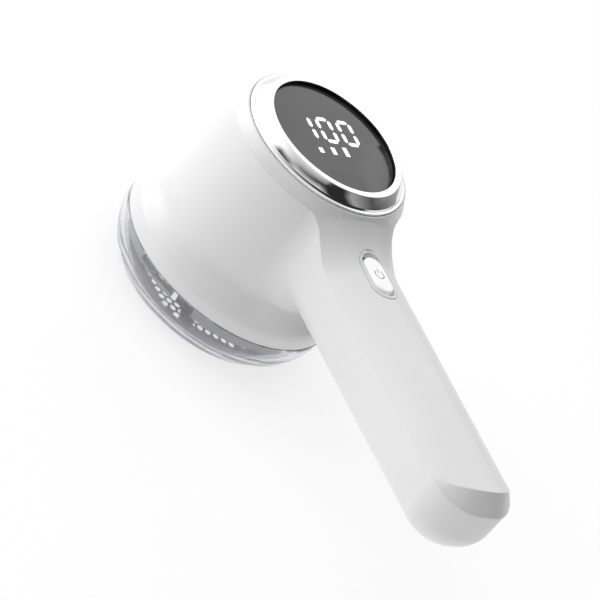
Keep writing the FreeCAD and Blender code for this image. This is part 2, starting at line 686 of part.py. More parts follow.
def make_display():
    first, second, third = digit_places()
    lit = digit_segments(first, "bc") + digit_segments(second, "abcdef") + digit_segments(third, "abcdef")
    lit += bar_outlines()
    windows = [plate(points, LENS_Z, LENS_T) for points in lit]
    lens = rod(LENS_R, LENS_Z, LENS_TOP)
    rim = [e for e in lens.Edges if e.BoundBox.ZMin > LENS_TOP - 0.01]
    lens = lens.makeFillet(0.2, rim).cut(windows)

    gasket = tube(RING_BORE_R - GASKET_W, LENS_R - 0.1, LENS_Z - GASKET_T, LENS_Z)

    all_segments = digit_segments(first, "bc") + digit_segments(second,
                                                                "abcdefg") + digit_segments(third,
                                                                                            "abcdefg")
    all_segments += bar_outlines()
    corner_x, corner_y = DIGITS_X - DIGIT_H / 2 - 1.5, BAR_FIRST_Y - BAR_W / 2 - 1.2
    far_x, far_y = BAR_FOOT_X + 1.5, third + DIGIT_W / 2 + 1.5
    reflector = block(corner_x, far_x, corner_y, far_y, REFLECTOR_Z, REFLECTOR_Z + REFLECTOR_H)
    reflector = reflector.cut([plate(points, REFLECTOR_Z - 1, REFLECTOR_H + 2) for points in all_segments])

    leds = []
    for points in all_segments:
        x = sum(p[0] for p in points) / len(points)
        y = sum(p[1] for p in points) / len(points)
        leds.append(block(x - 0.4, x + 0.4, y - 0.4, y + 0.4, REFLECTOR_Z, REFLECTOR_Z + 0.4))

    board_r = COLLAR_HOLE_R - 0.2 - RING_SKIRT_T - DISPLAY_BOARD_GAP
    board = rod(board_r, DISPLAY_BOARD_Z, REFLECTOR_Z)
    screw_r = board_r - 2.6
    board_hole = rod(SCREW_R + SCREW_GAP, DISPLAY_BOARD_Z - 1, REFLECTOR_Z + 1, screw_r)
    post_hole = rod(SCREW_R + SCREW_GAP, TRAY_Z - 1, REFLECTOR_Z, screw_r)
    offset = [angle + 30 for angle in FIX_ANGLES]
    board = board.cut(around(board_hole, offset))

    tray = rod(TRAY_R, TRAY_Z, TRAY_Z + TRAY_T)
    posts = around(rod(2.2, TRAY_Z, DISPLAY_BOARD_Z, screw_r), offset)
    tray = joined([tray] + posts)
    tray_hole = rod(SCREW_R + 0.3, TRAY_Z - 1, TRAY_Z + TRAY_T + 1, TRAY_BOSS_R)
    notch = slab(RIBBON_DROP_X - 1.2, TRAY_R + 1, RIBBON_HALF_W + 1, TRAY_Z - 1, TRAY_Z + TRAY_T + 1)
    tray = tray.cut(around(tray_hole, FIX_ANGLES) + around(post_hole, offset) + [notch])

    tray_screws = around(screw(TRAY_BOSS_R, 0, TRAY_Z + TRAY_T, -1, 7.5), FIX_ANGLES)
    board_screws = around(screw(screw_r, 0, REFLECTOR_Z, -1, 3.4), offset)
    return {"display_lens": lens, "display_segments": Part.Compound(windows), "lens_gasket": gasket,
            "display_reflector": reflector, "display_leds": Part.Compound(leds), "display_board": board,
            "display_tray": tray, "display_screws": Part.Compound(tray_screws + board_screws)}


RIBBON_HALF_W = 4.0
RIBBON_T = 0.25
RIBBON_DROP_X = 24.6


def make_ribbon():
    """Flat cable from under the display board, through the tray's notch, to the control board."""
    high = TRAY_Z + TRAY_T + 0.35
    across = BOARD_TOP + 2.4
    x0, x1 = RIBBON_DROP_X - 4.5, BOARD_START + 3.2
    t, r = RIBBON_T, 1.0
    points = [(x0, high), (RIBBON_DROP_X, high, r), (RIBBON_DROP_X, across, r), (x1 - 4.0, across, r),
              (x1 - 2.0, BOARD_TOP + 0.1, r), (x1, BOARD_TOP + 0.1), (x1, BOARD_TOP + 0.1 + t),
              (x1 - 2.0 + t * 0.6, BOARD_TOP + 0.1 + t, r - t), (x1 - 4.0 + t * 0.6, across + t, r + t),
              (RIBBON_DROP_X + t, across + t, r - t), (RIBBON_DROP_X + t, high + t, r + t), (x0, high + t)]
    face = Part.Face(outline(points, on_xz))
    return face.extrude(V(0, 2 * RIBBON_HALF_W, 0)).translated(V(0, -RIBBON_HALF_W, 0))


# ================================================================ button and its switch
def make_button():
    flange_top = HANDLE_TOP - WALL - BUTTON_FLANGE_DROP
    top = HANDLE_TOP + BUTTON_PROUD
    cap = plate(stadium(BUTTON_LEN, BUTTON_W, BUTTON_X), flange_top - 0.1, top - flange_top + 0.1)
    rim = [e for e in cap.Edges if e.BoundBox.ZMin > top - 0.01]
    cap = cap.makeFillet(BUTTON_ROUND, rim)
    flange = plate(stadium(BUTTON_LEN + 2 * BUTTON_FLANGE_END, BUTTON_W + 2 * BUTTON_FLANGE, BUTTON_X),
                   flange_top - BUTTON_FLANGE_T, BUTTON_FLANGE_T)
    plunger_top = BOARD_TOP + SWITCH_H + PLUNGER_STAND
    post = rod(BUTTON_POST_R, plunger_top, flange_top - 0.1, BUTTON_X)
    button = joined([cap, flange, post])
    icon = make_icon(top)
    button = button.cut(icon)
    frame = plate(stadium(WELL_LEN + 2 * FRAME_RIM, WELL_W + 2 * FRAME_RIM, BUTTON_X),
                  HANDLE_TOP - FRAME_DEPTH, FRAME_DEPTH + 1)
    frame = frame.cut([plate(stadium(WELL_LEN, WELL_W, BUTTON_X), HANDLE_TOP - 5, 10),
                       crown_cutter(-FRAME_STAND)])
    half = SWITCH_W / 2
    switch = block(BUTTON_X - half, BUTTON_X + half, -half, half, BOARD_TOP, BOARD_TOP + SWITCH_H)
    switch = switch.cut(rod(PLUNGER_R + RUN_GAP, BOARD_TOP + SWITCH_FLOOR, BOARD_TOP + SWITCH_H + 1,
                            BUTTON_X))
    plunger = rod(PLUNGER_R, plunger_top - PLUNGER_H, plunger_top, BUTTON_X)
    return {"power_button": button, "power_icon": icon, "button_frame": frame,
            "tact_switch": switch, "switch_plunger": plunger}


ICON_R = 1.7
ICON_LINE = 0.32
ICON_DEPTH = 0.15
ICON_GAP = 80.0


def make_icon(top):
    """Power symbol inlaid in the button: an open ring and a stroke, its top towards the head."""
    z0 = top - ICON_DEPTH
    arc = sector(ICON_R - ICON_LINE / 2, ICON_R + ICON_LINE / 2, z0, top, 0, 360 - ICON_GAP)
    stroke = slab(-ICON_R - 0.5, -ICON_R * 0.35, ICON_LINE / 2, z0, top)
    return Part.Compound([arc.translated(V(BUTTON_X, 0, 0)), stroke.translated(V(BUTTON_X, 0, 0))])


# ================================================================ electronics in the handle
def make_electronics():
    board = slab(BOARD_START, BOARD_END, CONTROL_BOARD_HALF_W, BOARD_Z, BOARD_TOP)
    holes = []
    screws = []
    for x in pad_positions():
        for y in (-BOARD_PAD_Y, BOARD_PAD_Y):
            holes.append(rod(SCREW_R + 0.2, BOARD_Z - 1, BOARD_TOP + 1, x, y))
            screws.append(screw(x, y, BOARD_Z, 1, CONTROL_BOARD_T + 1.7, SCREW_R, 1.6))
    board = board.cut(holes)

    parts = []
    chip_rows = ((16.0, 0.0, 6.0, 6.0, 0.9), (27.0, -3.0, 5.0, 4.0, 1.5), (27.0, 4.0, 4.0, 3.0, 1.1),
                 (37.0, 0.0, 6.0, 6.0, 1.9), (47.0, 3.5, 3.0, 3.0, 1.0), (47.0, -3.0, 3.2, 2.5, 1.2))
    for offset, y, length, width, height in chip_rows:
        x = CELL_X + offset
        parts.append(block(x - length / 2, x + length / 2, y - width / 2, y + width / 2,
                           BOARD_TOP, BOARD_TOP + height))
    for i in range(8):
        x = CELL_X + 12.0 + i * 5.0
        parts.append(block(x - 0.8, x + 0.8, 6.4, 7.2, BOARD_TOP, BOARD_TOP + 0.5))
        parts.append(block(x - 0.8, x + 0.8, -7.2, -6.4, BOARD_TOP, BOARD_TOP + 0.5))

    along = V(1, 0, 0)
    cell = Part.makeCylinder(CELL_R, CELL_LEN, V(CELL_X, 0, CELL_Z), along)
    cell = cell.makeFillet(0.6, [e for e in cell.Edges if e.Closed])
    crimp = Part.makeTorus(CELL_R + 0.45, 0.9, V(CELL_X + 4.0, 0, CELL_Z), along)
    cell = cell.cut(crimp)

    bed = slab(CELL_X - 1.4, CELL_END + 1.4, CELL_R - 0.4, HANDLE_FLOOR + 0.05, CELL_Z - CELL_R * 0.45)
    trough = Part.makeCylinder(CELL_R + CELL_GAP, CELL_LEN + 0.9, V(CELL_X - 0.45, 0, CELL_Z), along)
    for x in COVER_SCREW_X:
        bed = bed.cut(rod(BOSS_R + 0.3, HANDLE_FLOOR - 1, CELL_Z, x))
    cradle = bed.cut(trough).common(handle_form(WALL + INNER_GAP))

    tabs = [block(CELL_X - TAB_T, CELL_X, -3.0, 3.0, CELL_Z - 2.0, CELL_Z + 4.0),
            block(CELL_END, CELL_END + TAB_T, -3.0, 3.0, CELL_Z - 2.0, CELL_Z + 4.0)]

    side = CELL_R + CELL_SIDE_ROOM - 3.2
    near_x, far_x = CELL_X - TAB_T - LEAD_R - 0.03, CELL_END + TAB_T + LEAD_R + 0.03
    under_board = BOARD_Z - LEAD_R - 0.05
    battery_leads = [lead([(near_x, 1.0, CELL_Z + 2.0), (near_x, 8.5, CELL_Z + 6.0),
                           (near_x + 2.0, side, CELL_Z + 7.0),
                           (near_x + 6.0, side, under_board)], LEAD_R),
                     lead([(far_x, -1.0, CELL_Z + 2.0), (far_x, -9.5, CELL_Z + 5.5),
                           (far_x - 6.0, -side, CELL_Z + 6.2),
                           (CELL_X + 14.0, -side, CELL_Z + 6.2), (CELL_X + 4.0, -side, under_board)],
                           LEAD_R)]

    on_board = BOARD_TOP + LEAD_R + 0.05
    motor_leads = []
    for y in (-TERMINAL_Y, TERMINAL_Y):
        side_y = math.copysign(TERMINAL_Y + 1, y)
        motor_leads.append(lead([(0, y, MOTOR_TOP + TERMINAL_H), (0, y, MOTOR_TOP + 6.5),
                                 (14, side_y, on_board + 1.3),
                                 (BOARD_START - 4, side_y, on_board + 0.6),
                                 (BOARD_START + 3, side_y, on_board)], LEAD_R))

    port_leads = []
    for y in (-3.0, 3.0):
        port_leads.append(lead([(PORT_X, y, PORT_TOP + 1.0), (PORT_X, y, PORT_TOP + 9.0),
                                (BOARD_END + 3.0, y, on_board + 0.8), (BOARD_END - 4.0, y, on_board)],
                                LEAD_R))

    return {"control_board": board, "board_parts": Part.Compound(parts),
            "board_screws": Part.Compound(screws),
            "battery_cell": cell, "battery_cradle": cradle, "battery_tabs": Part.Compound(tabs),
            "battery_leads": Part.Compound(battery_leads), "motor_leads": Part.Compound(motor_leads),
            "port_leads": Part.Compound(port_leads)}


def make_port():
    shell = plate(stadium(PORT_W, PORT_D), PORT_MOUTH, PORT_H)
    bore = plate(stadium(PORT_W - 2 * PORT_WALL, PORT_D - 2 * PORT_WALL), PORT_MOUTH - 1, PORT_H)
    tongue = slab(-3.35, 3.35, 0.35, PORT_MOUTH + 1.2, PORT_TOP - 1.0)
    shell = shell.cut(bore)
    board = slab(PORT_X - PORT_BOARD_HEAD, PORT_X + PORT_BOARD_TAIL, PORT_BOARD_HALF_W, PORT_TOP,
                 PORT_TOP + 1.0)
    place = V(PORT_X, 0, 0)
    return {"usb_port": shell.rotated(V(0, 0, 0), UP, 90).translated(place),
            "port_tongue": tongue.rotated(V(0, 0, 0), UP, 90).translated(place),
            "port_board": board}


# ================================================================ deck, guard and foil
def bayonet_slot(angle):
    """Way in from below, then a run to the locked end, for one lug of the guard."""
    low, high = LUG_LOW - SLOT_GAP, LUG_LOW + LUG_H + SLOT_GAP
    inner, outer = SKIRT_IN_R - 1, SKIRT_OUT_R + 1
    reach = LUG_SPAN + 2 * SLOT_PLAY
    run = sector(inner, outer, low, high, angle + TWIST / 2, TWIST + reach)
    way_in = sector(inner, outer, SKIRT_LOW - 1, high, angle + TWIST, reach)
    return [run, way_in]


def make_deck():
    plate_part = rod(DECK_R, DECK_LOW, DECK_TOP)
    skirt = tube(SKIRT_IN_R, SKIRT_OUT_R, SKIRT_LOW, DECK_LOW)
    cup_in = MOTOR_R + SLEEVE_GAP + SLEEVE_T
    cup = tube(cup_in, cup_in + CUP_T, DECK_TOP, DECK_TOP + CUP_H)
    fin = block(cup_in + CUP_T - 0.3, cup_in + CUP_T + 6, -0.8, 0.8, DECK_TOP, DECK_TOP + 7)
    deck = joined([plate_part, skirt, cup] + around(fin, [angle + 60 for angle in FIX_ANGLES]))
    holes = [rod(NOSE_R + 0.6, DECK_LOW - 1, DECK_TOP + 1)]
    holes += [rod(MOTOR_SCREW_R + 0.2, DECK_LOW - 1, DECK_TOP + 1, 0, y) for y in (-MOTOR_SCREW_Y,
                                                                                   MOTOR_SCREW_Y)]
    holes += around(rod(SCREW_R + 0.3, DECK_LOW - 1, DECK_TOP + 1, DECK_BOSS_R), FIX_ANGLES)
    for angle in LUG_ANGLES:
        holes += bayonet_slot(angle)
    deck = deck.cut(holes)
    seal = tube(DECK_R, HEAD_R - WALL - 0.02, DECK_LOW + 0.2, DECK_TOP - 0.25)
    screws = around(screw(DECK_BOSS_R, 0, DECK_LOW, 1, DECK_T + 8.0), FIX_ANGLES)
    shaft_seal = tube(SHAFT_R + RUN_GAP, NOSE_R + 0.6, DECK_LOW, DECK_TOP)
    return {"chamber_deck": deck, "deck_seal": seal, "deck_screws": Part.Compound(screws),
            "shaft_seal": shaft_seal}


def make_guard():
    top = GUARD_H - SEAM_GAP
    knee_r, knee_z = HEAD_R - GUARD_KNEE[0], GUARD_KNEE[1]
    seat_top = FOIL_TOP + FOIL_RING_H
    ring = turned([(HEAD_R - 0.1, top, 0.3), (HEAD_R + 0.1, GUARD_BELLY_Z, 9.0), (knee_r, knee_z, 8.0),
                   (RIM_OUT_R, 0, 1.0), (MOUTH_R, 0, 0.3), (MOUTH_R, FOIL_RECESS),
                   (FOIL_R + FOIL_GAP, FOIL_RECESS),
                   (FOIL_R + FOIL_GAP, seat_top), (FOIL_R + 2.6, seat_top + 2.0, 4.0),
                   (GUARD_IN_R, GUARD_BELLY_Z - 0.4, 8.0), (GUARD_IN_R, top, 0.3)])
    lug = sector(GUARD_IN_R - LUG_DEPTH, GUARD_IN_R + 0.3, LUG_LOW, LUG_LOW + LUG_H, 0, LUG_SPAN)
    return joined([ring] + around(lug, LUG_ANGLES))


def foil_hole_places():
    """Triangular grid of perforations inside the foil's plain border."""
    limit = MOUTH_R - FOIL_BORDER
    row_step = FOIL_PITCH * math.sqrt(3) / 2
    rows = int(limit / row_step) + 1
    places = []
    for row in range(-rows, rows + 1):
        shift = FOIL_PITCH / 2 if row % 2 else 0.0
        for column in range(-rows - 2, rows + 3):
            x, y = column * FOIL_PITCH + shift, row * row_step
            if math.hypot(x, y) < limit - FOIL_HOLE_R:
                places.append((x, y))
    return places


def make_foil():
    wires = [Part.Wire(Part.Circle(V(0, 0, FOIL_RECESS), UP, FOIL_R).toShape())]
    for x, y in foil_hole_places():
        wires.append(Part.Wire(Part.Circle(V(x, y, FOIL_RECESS), UP, FOIL_HOLE_R).toShape()))
    face = Part.Face(wires, "Part::FaceMakerBullseye")
    foil = face.extrude(V(0, 0, FOIL_T))
    ring = tube(FOIL_RING_IN_R, FOIL_R, FOIL_TOP, FOIL_TOP + FOIL_RING_H)
    return foil, ring


# ================================================================ cutter
def blade_outline(angle):
    """One swept arm, from the hub to the tip circle."""
    half = BLADE_W / 2
    root_r = HUB_R - 4
    tip_half = math.degrees(math.asin(half * 0.8 / BLADE_R))
    points = []
    for r, turn in ((root_r, -24), (BLADE_R, BLADE_SWEEP - tip_half), (BLADE_R, BLADE_SWEEP + tip_half),
                    (root_r, 24)):
        a = math.radians(angle + turn)
        points.append((r * math.cos(a), r * math.sin(a)))
    return points


def make_cutter():
    arms = [plate(blade_outline(i * 360.0 / BLADE_COUNT), BLADE_Z, BLADE_T) for i in range(BLADE_COUNT)]
    blades = joined([rod(HUB_R, BLADE_Z, HUB_Z)] + arms)
    hub = joined([rod(HUB_R, HUB_Z, HUB_Z + HUB_T), rod(HUB_BOSS_R, HUB_Z, SHOULDER_TOP),
                  rod(HUB_TUBE_R, HUB_Z, TUBE_TOP)])
    half = DRIVE_SQ / 2 + DRIVE_GAP
    socket_floor = HUB_Z + HUB_T + SOCKET_FLOOR
    hub = hub.cut(block(-half, half, -half, half, socket_floor, TUBE_TOP + 1))
    rivets = []
    holes = []
    for i in range(3):
        a = math.radians(i * 120.0 + 15)
        x, y = RIVET_RING_R * math.cos(a), RIVET_RING_R * math.sin(a)
        holes.append(rod(RIVET_R, BLADE_Z - 1, HUB_Z + HUB_T + 1, x, y))
        head = rod(RIVET_R + 0.6, HUB_Z + HUB_T, HUB_Z + HUB_T + 0.6, x, y)
        rivets.append(joined([rod(RIVET_R, BLADE_Z, HUB_Z + HUB_T, x, y), head]))
    return {"cutter_blades": blades.cut(holes), "cutter_hub": hub.cut(holes),
            "cutter_rivets": Part.Compound(rivets)}


def make_spring():
    low, high = SHOULDER_TOP + SPRING_WIRE_R + 0.05, DRIVE_FLANGE_Z - SPRING_WIRE_R - 0.05
    helix = Part.makeHelix((high - low) / SPRING_TURNS, high - low, SPRING_MEAN_R)
    helix.translate(V(0, 0, low))
    start = V(SPRING_MEAN_R, 0, low)
    ring = Part.Wire(Part.Circle(start, V(0, 1, 0), SPRING_WIRE_R).toShape())
    return Part.Wire(helix.Edges).makePipeShell([ring], True, False)


def make_coupling():
    half = DRIVE_SQ / 2
    stem_low = HUB_Z + HUB_T + SOCKET_FLOOR + FLOAT + 0.6
    stem = block(-half, half, -half, half, stem_low, DRIVE_FLANGE_Z)
    stem = stem.makeFillet(0.4, [e for e in stem.Edges if e.BoundBox.ZLength > 2])
    coupling = joined([stem, rod(DRIVE_FLANGE_R, DRIVE_FLANGE_Z, DRIVE_FLANGE_Z + DRIVE_FLANGE_T),
                       rod(NOSE_R - 0.4, DRIVE_FLANGE_Z, DECK_LOW - 0.5)])
    return coupling.cut(rod(SHAFT_R, stem_low - 1, DECK_LOW)), stem_low


# ================================================================ motor
def make_motor(shaft_low):
    can = rod(MOTOR_R, CAN_Z, CAP_Z)
    can = can.makeFillet(1.0, [e for e in can.Edges if e.BoundBox.ZMax < CAN_Z + 0.01])
    nose = rod(NOSE_R, CAN_Z - NOSE_H, CAN_Z + 0.5)
    can = joined([can, nose]).cut([rod(MOTOR_R - CAN_T, CAN_Z + CAN_T, CAP_Z + 1),
                                   rod(BUSH_R, CAN_Z - 5, CAN_Z + 5)])
    screw_holes = [rod(MOTOR_SCREW_R + SCREW_GAP, CAN_Z - 1, CAN_Z + CAN_T + 1, 0, y)
                   for y in (-MOTOR_SCREW_Y, MOTOR_SCREW_Y)]
    can = can.cut(screw_holes)

    low_bush = tube(SHAFT_R + RUN_GAP, BUSH_R, CAN_Z - NOSE_H, CAN_Z - NOSE_H + BUSH_H)
    high_bush = tube(SHAFT_R + RUN_GAP, BUSH_R, CAP_Z + 0.6, CAP_Z + 0.6 + BUSH_H)

    plug_r = MOTOR_R - CAN_T
    cap = joined([rod(MOTOR_R, CAP_Z, MOTOR_TOP - 1.2), rod(MOTOR_R * 0.62, CAP_Z, MOTOR_TOP)])
    cap = cap.cut([rod(BUSH_R, CAP_Z - 2, CAP_Z + 0.6 + BUSH_H)])
    terminals = []
    cap_slots = []
    brushes = []
    for side in (-1, 1):
        y = side * TERMINAL_Y
        tab = block(-1.1, 1.1, y - 0.2, y + 0.2, CAP_Z, MOTOR_TOP + TERMINAL_H)
        terminals.append(tab)
        cap_slots.append(tab)
        contact_y = side * (COMMUTATOR_R + BRUSH_GAP)
        arm_y = side * (TERMINAL_Y + 0.2)
        leaf = block(-0.9, 0.9, min(contact_y, arm_y), max(contact_y, arm_y), CAP_Z - 0.4, CAP_Z)
        tip = block(-0.9, 0.9, min(contact_y, contact_y + side * 0.8),
                    max(contact_y, contact_y + side * 0.8),
                    CAP_Z - 3.0, CAP_Z)
        brushes.append(joined([leaf, tip]))
    cap = cap.cut(cap_slots)

    magnet_z = CAN_Z + 5.0
    magnets = [sector(plug_r - MAGNET_T, plug_r, magnet_z, magnet_z + MAGNET_H, angle, MAGNET_SPAN)
               for angle in (0, 180)]

    core_r = plug_r - MAGNET_T - AIR_GAP
    core_z = magnet_z + (MAGNET_H - CORE_H) / 2
    poles = [rod(3.2, core_z, core_z + CORE_H)]
    coils = []
    for angle in (0, 120, 240):
        neck = block(0, core_r - POLE_TIP_T / 2, -POLE_NECK_W / 2, POLE_NECK_W / 2, core_z, core_z + CORE_H)
        shoe = sector(core_r - POLE_TIP_T, core_r, core_z, core_z + CORE_H, 0, POLE_SPAN)
        poles += [shape.rotated(V(0, 0, 0), UP, angle) for shape in (neck, shoe)]
        inner_x, outer_x = 3.4, core_r - POLE_TIP_T - 0.1
        half_w, rise = POLE_NECK_W / 2 + COIL_T, 2.0
        coil = block(inner_x + 0.4, outer_x - 0.7, -half_w, half_w, core_z - rise, core_z + CORE_H + rise)
        coil = coil.makeFillet(1.2, coil.Edges)
        hollow = block(inner_x - 1, outer_x + 1, -POLE_NECK_W / 2, POLE_NECK_W / 2, core_z, core_z + CORE_H)
        wedges = [block(0, 20, 0, 20, core_z - 5, core_z + CORE_H + 5).rotated(V(0, 0, 0), UP, 58.5),
                  block(0, 20, -20, 0, core_z - 5, core_z + CORE_H + 5).rotated(V(0, 0, 0), UP, -58.5)]
        coil = coil.cut([hollow] + wedges)
        coils.append(coil.rotated(V(0, 0, 0), UP, angle))
    core = joined(poles).cut(rod(SHAFT_R, core_z - 1, core_z + CORE_H + 1))

    commutator_z = CAP_Z - COMMUTATOR_H
    segments = [sector(SHAFT_R + 0.5, COMMUTATOR_R, commutator_z, CAP_Z - 0.3, angle,
                       116) for angle in (60, 180, 300)]
    insulator = tube(SHAFT_R, SHAFT_R + 0.5, commutator_z, CAP_Z - 0.3)
    shaft = rod(SHAFT_R, shaft_low, CAP_Z + 0.6 + BUSH_H - 0.1)

    sleeve_r = MOTOR_R + SLEEVE_GAP
    sleeve = tube(sleeve_r, sleeve_r + SLEEVE_T - 0.05, CAN_Z + 1.0, CAN_Z + 1.0 + SLEEVE_H)
    damper = tube(NOSE_R + 1.0, MOTOR_R - 0.4, DECK_TOP, CAN_Z)
    damper = damper.cut([rod(MOTOR_SCREW_R + 0.2, DECK_TOP - 1, CAN_Z + 1, 0, y)
                         for y in (-MOTOR_SCREW_Y, MOTOR_SCREW_Y)])
    screws = [screw(0, y, DECK_LOW, 1, DECK_T + DAMPER_T + CAN_T + 0.6, MOTOR_SCREW_R, MOTOR_SCREW_HEAD_R)
              for y in (-MOTOR_SCREW_Y, MOTOR_SCREW_Y)]
    return {"motor_can": can, "motor_bushes": Part.Compound([low_bush, high_bush]), "motor_end_cap": cap,
            "motor_terminals": Part.Compound(terminals), "motor_brushes": Part.Compound(brushes),
            "motor_magnets": Part.Compound(magnets), "armature_core": core,
            "armature_windings": Part.Compound(coils), "commutator": Part.Compound(segments + [insulator]),
            "motor_shaft": shaft, "motor_sleeve": sleeve, "motor_damper": damper,
            "motor_screws": Part.Compound(screws)}


# ================================================================ assembly
def make_all():
    parts = {}
    parts["main_shell"], parts["handle_cover"], parts["cover_screws"] = make_housing()
    parts["chrome_ring"] = make_chrome_ring()
    parts.update(make_display())
    parts["display_ribbon"] = make_ribbon()
    parts.update(make_button())
    parts.update(make_electronics())
    parts.update(make_port())
    parts.update(make_deck())
    parts["clear_guard"] = make_guard()
    parts["cutting_foil"], parts["foil_ring"] = make_foil()
    parts.update(make_cutter())
    parts["cutter_spring"] = make_spring()
    parts["drive_coupling"], stem_low = make_coupling()
    parts.update(make_motor(stem_low))
    return parts


def main():
    os.makedirs("parts", exist_ok=True)
    for name, shape in make_all().items():
        placed = shape.translated(V(HEAD_X, 0, 0))
        placed.exportStep("parts/" + name + ".step")
        box = placed.BoundBox
        print("%-18s solids %2d valid %s volume %9.1f z %6.2f %6.2f" % (
            name, len(placed.Solids), placed.isValid(), placed.Volume, box.ZMin, box.ZMax))


main()
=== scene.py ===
"""Cordless fabric shaver: looks, floor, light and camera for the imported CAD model. Metres."""
import json
import math

import bmesh
import bpy
from mathutils import Matrix, Vector

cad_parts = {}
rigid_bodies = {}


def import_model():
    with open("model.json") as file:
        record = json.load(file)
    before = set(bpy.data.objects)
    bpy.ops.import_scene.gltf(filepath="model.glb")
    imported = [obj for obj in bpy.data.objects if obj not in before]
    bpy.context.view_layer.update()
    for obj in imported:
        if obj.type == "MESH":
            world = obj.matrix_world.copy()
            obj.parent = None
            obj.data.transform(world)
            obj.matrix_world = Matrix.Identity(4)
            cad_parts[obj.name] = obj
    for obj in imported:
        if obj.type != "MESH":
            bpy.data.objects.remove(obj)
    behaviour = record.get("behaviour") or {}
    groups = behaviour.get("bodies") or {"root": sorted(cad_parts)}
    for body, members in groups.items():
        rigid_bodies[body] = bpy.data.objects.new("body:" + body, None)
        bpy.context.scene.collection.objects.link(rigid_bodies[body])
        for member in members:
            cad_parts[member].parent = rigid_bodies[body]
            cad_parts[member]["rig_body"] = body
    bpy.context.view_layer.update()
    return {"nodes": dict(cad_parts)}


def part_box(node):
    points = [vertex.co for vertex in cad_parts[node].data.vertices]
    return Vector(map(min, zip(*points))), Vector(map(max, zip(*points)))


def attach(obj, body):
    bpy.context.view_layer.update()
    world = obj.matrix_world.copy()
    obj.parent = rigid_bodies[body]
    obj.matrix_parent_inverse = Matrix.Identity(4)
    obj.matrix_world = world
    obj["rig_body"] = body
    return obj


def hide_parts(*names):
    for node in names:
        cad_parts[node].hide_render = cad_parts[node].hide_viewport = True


MM = 0.001

# Smoothing: angles in degrees past which an edge stays sharp, with the finish's slot in the record
SHELL_SHARP = 24
DECK_SHARP = 30
SMOOTHED = {"main_shell": (SHELL_SHARP, "white_gloss"), "handle_cover": (SHELL_SHARP, "white_gloss"),
            "chrome_ring": (SHELL_SHARP, "chrome"), "clear_guard": (SHELL_SHARP, "clear_tint"),
            "power_button": (SHELL_SHARP, "white_gloss"), "button_frame": (SHELL_SHARP, "white_gloss"),
            "chamber_deck": (DECK_SHARP, "deck_grey"), "display_lens": (SHELL_SHARP, "lens_smoked")}
MERGE = 1e-6                     # corners nearer than this are one

# Finishes
SHELL_EDGE = 0.7 * MM            # rounding of the white mouldings' edges
SHADED_BORE_SPARE = 0.0002        # the ring's bore is black this far past the lens: painted shade in the gap round the lens
# colour of the painted shade in the ring's bore
BORE_SHADE_BLACK = (0.004, 0.004, 0.004)
STEEL_DARK = 0.82                # dark grinding lines, as a share of the steel's own colour

# Cross-head screws
SCREW_HEAD_H = 1.0 * MM
THREAD_PITCH = 0.8 * MM
HEAD_SIDES = 28
SHANK_SIDES = 20
SHANK_SHARE = 0.5                # shank to head, across
HEAD_TAPER = 0.86                # the head's face to its foot, across
CROSS_REACH = 1.25               # recess to the head's radius, along and across an arm
CROSS_WIDTH = 0.3
RECESS_LIFT = 0.1                # the recess is this share of the head's height off its middle
CORE_SHARE = 0.82                # the shank between the threads
THREAD_ROOT = 0.8
THREAD_FILL = 0.7                # height of a thread to its pitch
SHANK_JOIN = 0.98                # the shank starts this share of the head's height down

# Studio. Light levels by compass angle, in degrees from the handle's direction
STUDIO_LEVEL = 0.88
CEILING_LEVEL = 0.95
STUDIO_WALLS = ((-180, 1.7), (-150, 1.9), (-110, 1.5), (-85, 0.9), (-60, 0.25), (-30, 0.03), (60, 0.03),
                (100, 0.5), (135, 1.4), (180, 1.7))
STUDIO_BOXES = ((-180, 1.5), (-112, 1.6), (-100, 0.1), (-82, 0.1), (-66, 0.9), (-24, 0.9), (-8, 0.03),
                (20, 0.03), (32, 0.45), (60, 0.1), (85, 0.4), (110, 1.7), (150, 1.7))
# Shares of the boxes and of the ceiling, by the upward part of a direction
BOXES_BAND = ((0.25, 0.0), (0.38, 1.0), (0.68, 1.0), (0.8, 0.0))
CEILING_BAND = ((0.80, 0.0), (0.95, 1.0))
FULL_TURN = 360
FLOOR_SIZE = 6.0
FLOOR_DROP = 0.0002
KEY_FROM = (-0.80, -0.45, 0.35)
KEY_DISTANCE = 1.3
KEY_SIZE = 0.8
KEY_POWER = 3.6
LIT_HEIGHT = 0.04                # the key light points at this height over the origin

# Camera, from the head's axis
CAMERA_PLACE = Vector((0.8034, -1.0216, 0.7799))
CAMERA_RIGHT = Vector((0.3964, 0.7181, 0.5720))
CAMERA_UP = Vector((-0.7564, -0.0976, 0.6468))
CAMERA_BACK = Vector((0.5203, -0.6890, 0.5045))
CAMERA_LENS = 283.8
CAMERA_SENSOR = 36.0
CAMERA_CLIP = (0.05, 20.0)

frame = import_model()
nodes = frame["nodes"]


def middle(node):
    """Middle of a CAD node's box, in the row frame."""
    low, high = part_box(node)
    return (Vector(low) + Vector(high)) / 2


HEAD = middle("display_lens")    # on the head's axis, at the lens


